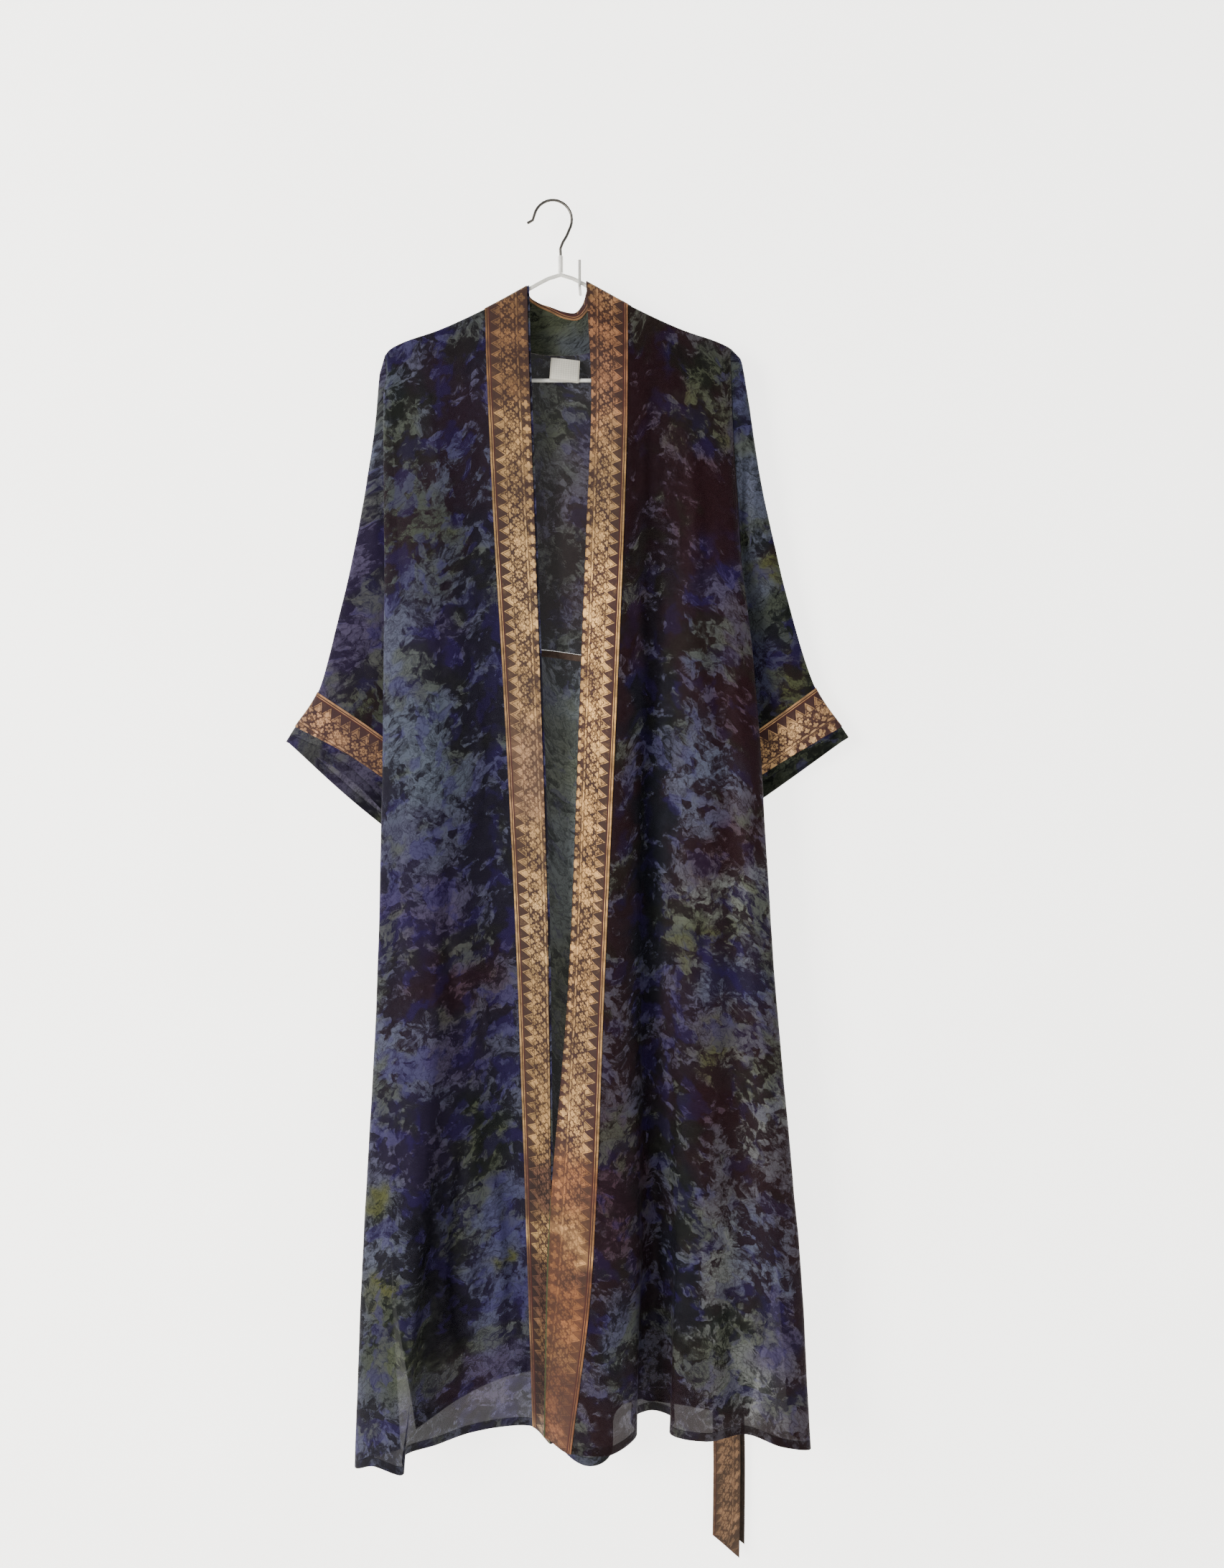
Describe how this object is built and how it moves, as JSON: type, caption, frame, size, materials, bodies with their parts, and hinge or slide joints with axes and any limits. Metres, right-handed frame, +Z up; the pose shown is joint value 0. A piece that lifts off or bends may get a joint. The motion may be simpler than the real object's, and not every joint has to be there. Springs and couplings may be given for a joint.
{
  "type": "kimono robe on a wire hanger and wall hook",
  "caption": "Long open kimono robe of thin dyed silk with brocade borders and a sash belt, on a white wire hanger held by a small wall hook.",
  "frame": {"origin": "where the wall hook's shank leaves the wall", "axes": "+X to the right seen from the front, +Y into the wall, +Z up"},
  "size_m": [0.677, 0.1077, 1.6635],
  "materials": {
    "silk": "sheer, tie-dyed in slate, indigo, olive and aubergine, with a soft sheen",
    "brocade": "woven in worn gold and maroon thread",
    "label": "woven, matt",
    "white_coating": "satin coating on steel wire",
    "chrome": "polished"
  },
  "bodies": {
    "root": {"front_left": "silk", "front_right": "silk", "front_border_left": "brocade", "front_border_right": "brocade", "back_upper": "silk", "back_lower": "silk", "waist_tape": "brocade", "sleeve_left": "silk", "sleeve_border_left": "brocade", "sleeve_right": "silk", "sleeve_border_right": "brocade", "neck_facing": "silk", "neck_border": "brocade", "label": "label", "belt": "brocade", "belt_keeper": "silk", "hanger_frame": "white_coating", "hanger_neck": "white_coating", "hanger_hook": "chrome", "wall_hook": "white_coating"}
  },
  "joints": []
}
